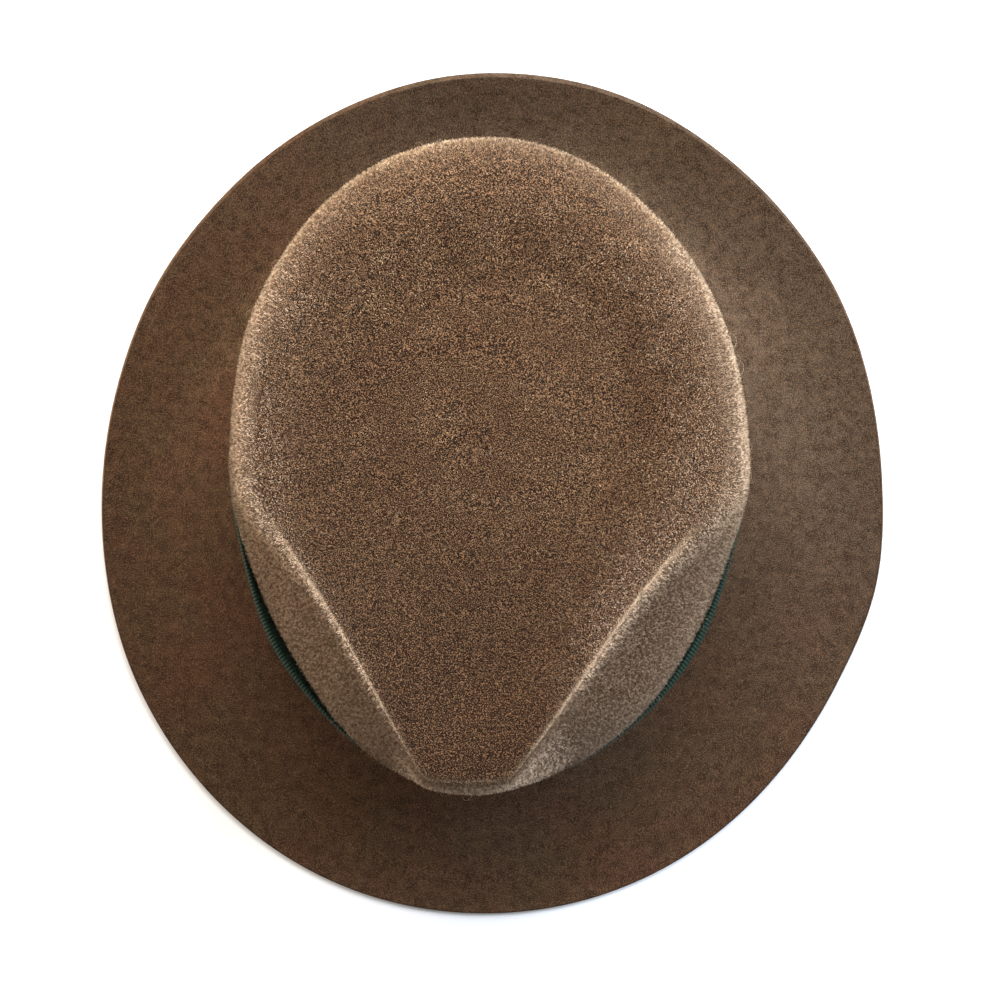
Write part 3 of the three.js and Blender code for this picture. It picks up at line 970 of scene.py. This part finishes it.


def nap_material(name, dark, light):
    material, tree = new_material(name)
    tint, napped, rim = (
        add(tree, "ShaderNodeAttribute", attribute_name=kept).outputs["Fac"]
        for kept in ("tint", "nap", "rim")
    )
    place, mottle, lock = uneven_felt(tree, (MOTTLE_MM,), LOCK_MM)
    backward = add(tree, "ShaderNodeSeparateXYZ", {0: place}).outputs["Y"]
    # Each row: what is read, the two ends of its range, and the share at the first of them
    in_lock, clear_of_front_shade, patch, grown = (
        add(
            tree,
            "ShaderNodeMapRange",
            {"Value": value, "From Min": start, "From Max": end, "To Min": first},
        )
        for value, start, end, first in (
            (lock, 0.43, 0.59, 0.0),
            # painted shade in front: fibres are darkest at the front of the hat
            (backward, -85 * MM, 10 * MM, 0.0),
            (mottle, 0.38, 0.62, 0.66),
            (napped, 0.0, 1.0, 0.25),
        )
    )
    mixed = add(tree, "ShaderNodeMix", {"Factor": BY_LOCK, 2: tint, 3: in_lock})
    share = mixed
    for factor in (clear_of_front_shade, patch, grown):
        share = add(tree, "ShaderNodeMath", (share, factor), operation="MULTIPLY")
    # Painted sheen: fibres are painted pale where the rim's sheen is kept
    sheened = add(tree, "ShaderNodeMath", (rim, mixed), operation="MULTIPLY")
    painted_sheen_share = add(tree, "ShaderNodeMath", (sheened, SHEEN_PALING), operation="MULTIPLY", use_clamp=True)
    colour = linear(dark)
    for amount, paler in ((share, light), (painted_sheen_share, SHEEN_PALE)):
        layer = {"Factor": amount, 6: colour, 7: linear(paler)}
        colour = add(tree, "ShaderNodeMix", layer, data_type="RGBA").outputs[2]
    surface = add(
        tree,
        "ShaderNodeBsdfPrincipled",
        {
            "Base Color": colour,
            "Roughness": 0.9,
            "Specular IOR Level": 0.1,
            "Sheen Weight": 0.25,
            "Sheen Roughness": 0.4,
            "Sheen Tint": linear("#dcae80"),
        },
    )
    add(tree, "ShaderNodeOutputMaterial", {"Surface": surface})
    return material


down = nap_material("short wool down", "#2e1a0d", "#f0c898")
guard = nap_material("long wool fibre", "#4a2e1a", "#f4dab6")

# %% Undercoat and topcoat
MM2 = 1 / MM**2
COAT = {"Length Spread": 0.4, "Swirl Size": 16 * MM, "Spin Spread": 1.9}
UNDERCOAT = {
    **COAT,
    "Density": 2.1 * MM2,
    "Corners": 3,
    "Length": 0.55 * MM,
    "Width": 0.17 * MM,
    "Lift Low": math.radians(50),
    "Lift High": math.radians(85),
    "Material": down,
}
TOPCOAT = {
    **COAT,
    "Density": 1.05 * MM2,
    "Corners": 4,
    "Length": 0.95 * MM,
    "Width": 0.13 * MM,
    "Lift Low": math.radians(58),
    "Lift High": math.radians(88),
    "Arch": 0.4,
    "Material": guard,
}
nap_pieces = [
    grow(name, nap_tree, felt, {**coat, "Seed": seed})
    for name, coat, seed in (
        ("undercoat_a", UNDERCOAT, 11),
        ("undercoat_b", UNDERCOAT, 21),
        ("topcoat_a", TOPCOAT, 31),
        ("topcoat_b", TOPCOAT, 41),
    )
]

# %% [markdown]
# ## Stray hairs
#
# A few fibres always escape the brush and stand up as long thin curls. They show only against the light
# and at the outline, but without them the edge of the crown looks cut out. They are tubes swept along an
# arc, also placed by Geometry Nodes, and there are only a few hundred.

# %% The tree that places stray hairs
stray_tree, given = new_tree("Stray hairs", "Felt", ("Density", "Length", "Thickness"), ("Seed",))
roots, _ = roots_on_felt(stray_tree, given)
curl = add(
    stray_tree,
    "GeometryNodeCurvePrimitiveBezierSegment",
    {
        "Resolution": 7,
        "Start": (0, 0, 0),
        "Start Handle": (0.05, 0, 0.45),
        "End Handle": (0.75, 0.15, 0.75),
        "End": (0.95, 0.4, 0.2),
    },
)
outline = {"Resolution": 3, "Radius": given["Thickness"]}
section = add(stray_tree, "GeometryNodeCurvePrimitiveCircle", outline)
tube = add(stray_tree, "GeometryNodeCurveToMesh", {"Curve": curl, "Profile Curve": section})
next_seed = add(stray_tree, "ShaderNodeMath", (given["Seed"], 1.0), operation="ADD")
spun, stretched, tint = (
    add(stray_tree, "FunctionNodeRandomValue", {FIRST: low, LAST: high, SEED: seed}).outputs[1]
    for low, high, seed in (
        (0.0, math.tau, given["Seed"]),
        (0.4, 1.0, next_seed),
        (0.3, 1.0, given["Seed"]),
    )
)
turn = add(stray_tree, "ShaderNodeCombineXYZ", {"Z": spun})
length = add(stray_tree, "ShaderNodeMath", (given["Length"], stretched), operation="MULTIPLY")
plant(stray_tree, given, roots, tube, turn, length, tint)

# %% Stray hairs on crown and brim
# Their thickness is a share of their length
STRAY = {"Density": 0.0036 * MM2, "Length": 5.5 * MM, "Thickness": 0.006, "Seed": 5, "Material": guard}
stray_hairs = grow("stray_hairs", stray_tree, felt, STRAY)

# %% [markdown]
# ## The ribbon
#
# Grosgrain is woven with thick weft cords between fine warp threads, so it has a rib across its width
# about every millimetre. The band is drawn tight round the foot of the crown and bridges the two pinches
# in front, where it stands away from the felt at its top edge, and the slack there is gathered into a
# soft roll. The strip is laid out from the same wall as the crown. A tree raises the ribs on it as real
# shape, because they must show at the top edge, which is all that is seen from above.

# %% Sizes of the ribbon
RIBBON = {"height": 30.0, "below_foot": 2.0, "clearance": 0.5, "thickness": 0.75}
STAND_OFFS = table(
    ("at", "half_span", "bridged", "rolled"),
    (219, 30, 2.1, 2.0),
    (321, 26, 0.2, 2.4),
)
BRIDGE_POWER = 2.5  # the ribbon leaves the felt slowly with height
ROLL_FROM = 0.87  # share of the height above which the slack of the ribbon is gathered into a soft roll
RIB_PITCH = 1.2  # drawn a little coarser than the real millimetre, so that the ribs show from the side
RIB_HEIGHT = 0.18
RIB_COLUMNS = 5  # columns of points in one rib
EDGE_WAVE = 0.12  # how far the weft turns stand out at the two woven edges


def wall_points(degrees, above):
    """Outer face of the crown at a height above its foot, or a little below it on the bend."""
    share = np.arcsin(np.clip(-above, 0, FOOT_BEND) / FOOT_BEND) / (np.pi / 2)
    rise = np.clip(above, 0, None) / (rim_height(degrees) - foot_height(degrees))
    return np.where((above < 0)[..., None], foot_points(degrees, share), side_points(degrees, rise))


def slack(degrees, column):
    """How much of a column of the stand-offs is felt in a direction."""
    most = 0
    for at, half_span, value in zip(STAND_OFFS["at"], STAND_OFFS["half_span"], STAND_OFFS[column]):
        away = np.abs(np.mod(degrees - at + 180, 360) - 180) / half_span
        most = np.maximum(most, value * near(away, 0, 1))
    return most


def ribbon_points(degrees, above, outward):
    """Points of the ribbon, with outward as the distance from its own inner face."""
    degrees, above, outward = np.broadcast_arrays(degrees, above, outward)
    up = np.clip(above, 0, None) / (RIBBON["height"] - RIBBON["below_foot"])
    rolled = 1 + slack(degrees, "rolled") * smooth_step(up, ROLL_FROM, 1)
    away = slack(degrees, "bridged") * up**BRIDGE_POWER + RIBBON["clearance"] + outward * rolled
    return wall_points(degrees, above) + polar(degrees, away, 0)


# %% Laying out the strip
FINE_STEPS = 4001
MEASURED_AT = 20.0  # height above the foot at which the way round the crown is measured


def section_of_strip(inner, outer, outer_rows, inner_rows):
    """The strip's cross-section as (height, distance outward, edge) rows: down outside, up inside."""
    low, high = -RIBBON["below_foot"], RIBBON["height"] - RIBBON["below_foot"]
    ease, middle = (outer - inner) / 2, (outer + inner) / 2
    top, bottom = high - ease, low + ease
    # Rows lie closer together towards the top, which is what shows
    down = [(top - (top - bottom) * t**3, outer, 0) for t in np.linspace(0, 1, outer_rows)]
    up = [(top - (top - bottom) * (1 - t) ** 3, inner, 0) for t in np.linspace(0, 1, inner_rows)]
    return np.array([*down, (low, middle, -1), *up, (high, middle, 1)])


def columns_between(start, end, spacing):
    """Directions between two, so that neighbouring columns lie evenly along the strip."""
    fine = np.linspace(start, end, FINE_STEPS)
    line = ribbon_points(fine, np.array(MEASURED_AT), np.array(RIBBON["thickness"]))
    walked = np.append(0, np.cumsum(np.linalg.norm(np.diff(line, axis=0), axis=1)))
    ribs = round(walked[-1] / spacing)
    count = ribs * RIB_COLUMNS
    return np.interp(np.linspace(0, walked[-1], count + 1), walked, fine), walked[-1], ribs


def strip_piece(name, degrees, section, closed):
    """A strip as a mesh, with its rib phase and edges kept for the tree and the material."""
    count = len(degrees)
    points = ribbon_points(degrees[None, :], section[:, :1], section[:, 1:2])
    faces = ring_faces(len(section), count, closed_rows=True, closed_columns=closed)
    if not closed:
        rows = range(len(section))
        faces.append([row * count for row in reversed(rows)])
        faces.append([row * count + count - 1 for row in rows])
    piece = new_piece(name, points.reshape(-1, 3) + shift, faces)
    store(piece, "rib", np.broadcast_to(np.arange(count) / RIB_COLUMNS, points.shape[:2]))
    store(piece, "edge", np.broadcast_to(section[:, 2:3], points.shape[:2]))
    return piece


# %% The tree that raises the ribs
rib_tree, given = new_tree("Grosgrain ribs", "Strip", ("Rib Height", "Edge Wave"))
phase, edge_side = (
    add(rib_tree, "GeometryNodeInputNamedAttribute", {"Name": name}, data_type="FLOAT")
    for name in ("rib", "edge")
)
turned = add(rib_tree, "ShaderNodeMath", (phase, math.tau), operation="MULTIPLY")
wave = add(rib_tree, "ShaderNodeMath", {0: turned}, operation="COSINE")
share = add(rib_tree, "ShaderNodeMapRange", {"Value": wave, "From Min": -1.0, "From Max": 1.0})
height = add(rib_tree, "ShaderNodeMath", (share, given["Rib Height"]), operation="MULTIPLY")
normal = add(rib_tree, "GeometryNodeInputNormal")
raised = add(rib_tree, "ShaderNodeVectorMath", {0: normal, "Scale": height}, operation="SCALE")
turn_side = add(rib_tree, "ShaderNodeMath", (wave, edge_side), operation="MULTIPLY")
turn_height = add(rib_tree, "ShaderNodeMath", (turn_side, given["Edge Wave"]), operation="MULTIPLY")
weft_turns = add(rib_tree, "ShaderNodeCombineXYZ", {"Z": turn_height})
moved = add(rib_tree, "ShaderNodeVectorMath", (raised, weft_turns), operation="ADD")
ribbed = add(rib_tree, "GeometryNodeSetPosition", {"Geometry": given["Strip"], "Offset": moved})
end_tree(rib_tree, ribbed, given["Material"])
print(f"{rib_tree.name}: {len(rib_tree.nodes)} nodes")

# %% Grosgrain
# Rayon grosgrain, with a painted highlight along the ribs and painted shade, almost black, between them
GROSGRAIN_COLOURS = {"between": "#07130d", "rib": "#152d20", "thread": "#1f3d2c"}
THREAD_MM = 0.5

grosgrain, tree = new_material("rayon grosgrain")
place = add(tree, "ShaderNodeTexCoord").outputs["Object"]
weave = add(tree, "ShaderNodeTexNoise", {"Vector": place, "Scale": 1 / (THREAD_MM * MM), "Detail": 2.0})
phase = add(tree, "ShaderNodeAttribute", attribute_name="rib").outputs["Fac"]
turned = add(tree, "ShaderNodeMath", (phase, math.tau), operation="MULTIPLY")
wave = add(tree, "ShaderNodeMath", {0: turned}, operation="COSINE")
rib_highlight = add(tree, "ShaderNodeMapRange", {"Value": wave, "From Min": -0.9, "From Max": 0.6})
silky = add(tree, "ShaderNodeMapRange", {"Value": weave, "From Min": 0.35, "From Max": 0.75, "To Max": 0.5})
colour = linear(GROSGRAIN_COLOURS["between"])
for share, name in ((rib_highlight, "rib"), (silky, "thread")):
    layer = {"Factor": share, 6: colour, 7: linear(GROSGRAIN_COLOURS[name])}
    colour = add(tree, "ShaderNodeMix", layer, data_type="RGBA").outputs[2]
fine = add(tree, "ShaderNodeBump", {"Height": weave, "Distance": 0.08 * MM, "Strength": 0.5})
surface = add(
    tree,
    "ShaderNodeBsdfPrincipled",
    {
        "Base Color": colour,
        "Roughness": 0.6,
        "Specular IOR Level": 0.25,
        "Sheen Weight": 0.1,
        "Sheen Roughness": 0.4,
        "Sheen Tint": linear("#a9c9b4"),
        "Normal": fine,
    },
)
add(tree, "ShaderNodeOutputMaterial", {"Surface": surface})

# %% The band
RIBS = {"Rib Height": RIB_HEIGHT * MM, "Edge Wave": EDGE_WAVE * MM, "Material": grosgrain}


def ribbed_piece(name, start, end, section):
    """A ribbed piece of ribbon between two directions, all the way round or open, and its length."""
    closed = end - start == 360
    columns, length, rib_count = columns_between(start, end, RIB_PITCH)
    plain = strip_piece("plain_" + name, columns[:-1] if closed else columns, section, closed)
    piece = grow(name, rib_tree, plain, RIBS)
    piece.data.shade_smooth()
    bpy.data.objects.remove(plain)
    print(f"{name} {length:.1f} mm long, {rib_count} ribs")
    return piece, length


section = section_of_strip(0, RIBBON["thickness"], outer_rows=11, inner_rows=9)
band, band_length = ribbed_piece("ribbon", 0, 360, section)

# %% [markdown]
# ## The lap and its stitches
#
# The band is one length of ribbon, and its ends meet on the wearer's left. A short piece is folded over
# the join and sewn down at both sides with small stitches in thread of the same green. The stitches are
# one tree: it walks up a line and lays a small rounded stitch at each step.

# %% The lap
LAP = {"from": 15.0, "to": 24.0, "inside": 1.3, "thickness": 0.65}
section = section_of_strip(LAP["inside"], LAP["inside"] + LAP["thickness"], outer_rows=8, inner_rows=4)
lap, lap_length = ribbed_piece("lap", LAP["from"], LAP["to"], section)

# %% The tree that sews
sewing_tree, given = new_tree("Stitches", "Seam", ("Pitch", "Length", "Thickness"))
seam_line = add(sewing_tree, "GeometryNodeMeshToCurve", {"Mesh": given["Seam"]})
steps = add(
    sewing_tree, "GeometryNodeCurveToPoints", {"Curve": seam_line, "Length": given["Pitch"]}, mode="LENGTH"
)
stitch = add(sewing_tree, "GeometryNodeMeshUVSphere", {"Segments": 6, "Rings": 5, "Radius": 0.5})
width = given["Thickness"]
size = add(sewing_tree, "ShaderNodeCombineXYZ", {"X": width, "Y": width, "Z": given["Length"]})
sewn = add(
    sewing_tree,
    "GeometryNodeInstanceOnPoints",
    {"Points": steps, "Instance": stitch, "Rotation": steps.outputs["Rotation"], "Scale": size},
)
end_tree(sewing_tree, sewn, given["Material"])
print(f"{sewing_tree.name}: {len(sewing_tree.nodes)} nodes")

# %% Polished cotton thread
thread, tree = new_material("mercerised cotton thread")
surface = add(
    tree,
    "ShaderNodeBsdfPrincipled",
    {"Base Color": linear("#1a3029"), "Roughness": 0.5, "Specular IOR Level": 0.45, "Sheen Weight": 0.2},
)
add(tree, "ShaderNodeOutputMaterial", {"Surface": surface})

# %% Two rows of stitches
seam_outward = np.array(LAP["inside"] + LAP["thickness"] + RIB_HEIGHT)
seam_heights = np.linspace(0, RIBBON["height"] - 2 * RIBBON["below_foot"], 25)
SEAM_INSET = 0.6  # mm from the lap's end
inset_degrees = SEAM_INSET / lap_length * (LAP["to"] - LAP["from"])
seams = [
    ribbon_points(np.array(at), seam_heights, seam_outward)
    for at in (LAP["from"] + inset_degrees, LAP["to"] - inset_degrees)
]
seam_mesh = bpy.data.meshes.new("seams")
seam_pairs = [(k, k + 1) for k in range(2 * len(seam_heights) - 1) if k != len(seam_heights) - 1]
seam_mesh.from_pydata(((np.concatenate(seams) + shift) * MM).tolist(), seam_pairs, [])
seam = bpy.data.objects.new("seams", seam_mesh)
SEWING = {"Pitch": 2.6 * MM, "Length": 1.5 * MM, "Thickness": 0.34 * MM, "Material": thread}
stitches = grow("stitches", sewing_tree, seam, SEWING)
stitches.data.shade_smooth()
bpy.data.objects.remove(seam)

# %% [markdown]
# ## Joining the imported frame
#
# Each piece rides on the part's one body and takes the place of its solid, which is hidden. The ribbon is
# cloth: a strip 30 mm wide and as long as the way round the crown.

# %% Pieces and their solids
for piece in [felt, band, lap, stitches, stray_hairs, *nap_pieces]:
    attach(piece, "root")
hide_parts("felt_body")
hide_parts("ribbon_band")
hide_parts("ribbon_lap")

# %% [markdown]
# ## Floor, light and camera
#
# The hat was photographed from straight above, on white. Two lamps above and behind it draw the bright
# line of down along the rim, with the painted sheen on the felt, and leave the front of the brim in the
# crown's soft shadow, deepened by painted shade. A bluish lamp lights the right of the picture, and a warm
# one stands low on the left and opens the shadows. The pale floor does the rest.

# %% Pale floor
paper, tree = new_material("matt white paper")
plain = {"Base Color": linear("#fbfbfa"), "Roughness": 0.9, "Specular IOR Level": 0.2}
surface = add(tree, "ShaderNodeBsdfPrincipled", plain)
add(tree, "ShaderNodeOutputMaterial", {"Surface": surface})
FLOOR = {"half_width": 4000, "below": 0.05}
floor_corners = np.array([(-1, -1, 0), (1, -1, 0), (1, 1, 0), (-1, 1, 0)], float) * FLOOR["half_width"]
floor_corners[:, 2] = -FLOOR["below"]
floor = new_piece("floor", floor_corners, [[0, 1, 2, 3]], paper)

# %% Soft light
world = bpy.data.worlds.new("studio")
world.use_nodes = True
world.node_tree.nodes["Background"].inputs["Color"].default_value = linear("#ffffff")
world.node_tree.nodes["Background"].inputs["Strength"].default_value = 0.35
bpy.context.scene.world = world
LIT_POINT = (0, 0, 0.06)  # in metres, like all of the light


def lamp(name, place, size, brightness, colour):
    """A square soft lamp that faces the crown.

    Its brightness is what it adds to a white surface that faces it.
    """
    light = bpy.data.lights.new(name, "AREA")
    light.size = size
    light.color = linear(colour)[:3]
    light.energy = brightness * (math.pi * Vector(place).length) ** 2
    made = put_in_scene(name, light)
    made.location = place
    made.rotation_euler = (Vector(place) - Vector(LIT_POINT)).to_track_quat("Z", "Y").to_euler()
    made.visible_camera = False
    print(f"lamp {name}: {light.energy:.2f} W")


lamp("above_behind", (0.0, 0.35, 0.6), 0.35, 0.8, "#fffaf5")
lamp("behind", (0.08, 0.42, 0.4), 0.3, 0.55, "#ffffff")
lamp("right", (0.45, 0.2, 0.5), 0.35, 1.12, "#dceaff")
lamp("left", (-0.45, 0.12, 0.14), 0.25, 0.8, "#ffeedc")

# %% Camera straight above
CAMERA = {"height": 600.0, "x": 2.664, "y": 1.126, "seen_width": 352.1, "sensor": 36.0}
camera = bpy.data.cameras.new("camera")
camera.sensor_width = CAMERA["sensor"]
camera.lens = CAMERA["sensor"] * CAMERA["height"] / CAMERA["seen_width"]
camera.clip_start = 0.01
photographer = put_in_scene("camera", camera)
photographer.location = (CAMERA["x"] * MM, CAMERA["y"] * MM, CAMERA["height"] * MM)
bpy.context.scene.camera = photographer
bpy.context.scene.view_settings.view_transform = "Standard"
print(f"lens {camera.lens:.2f} mm at {CAMERA['height']:.0f} mm")
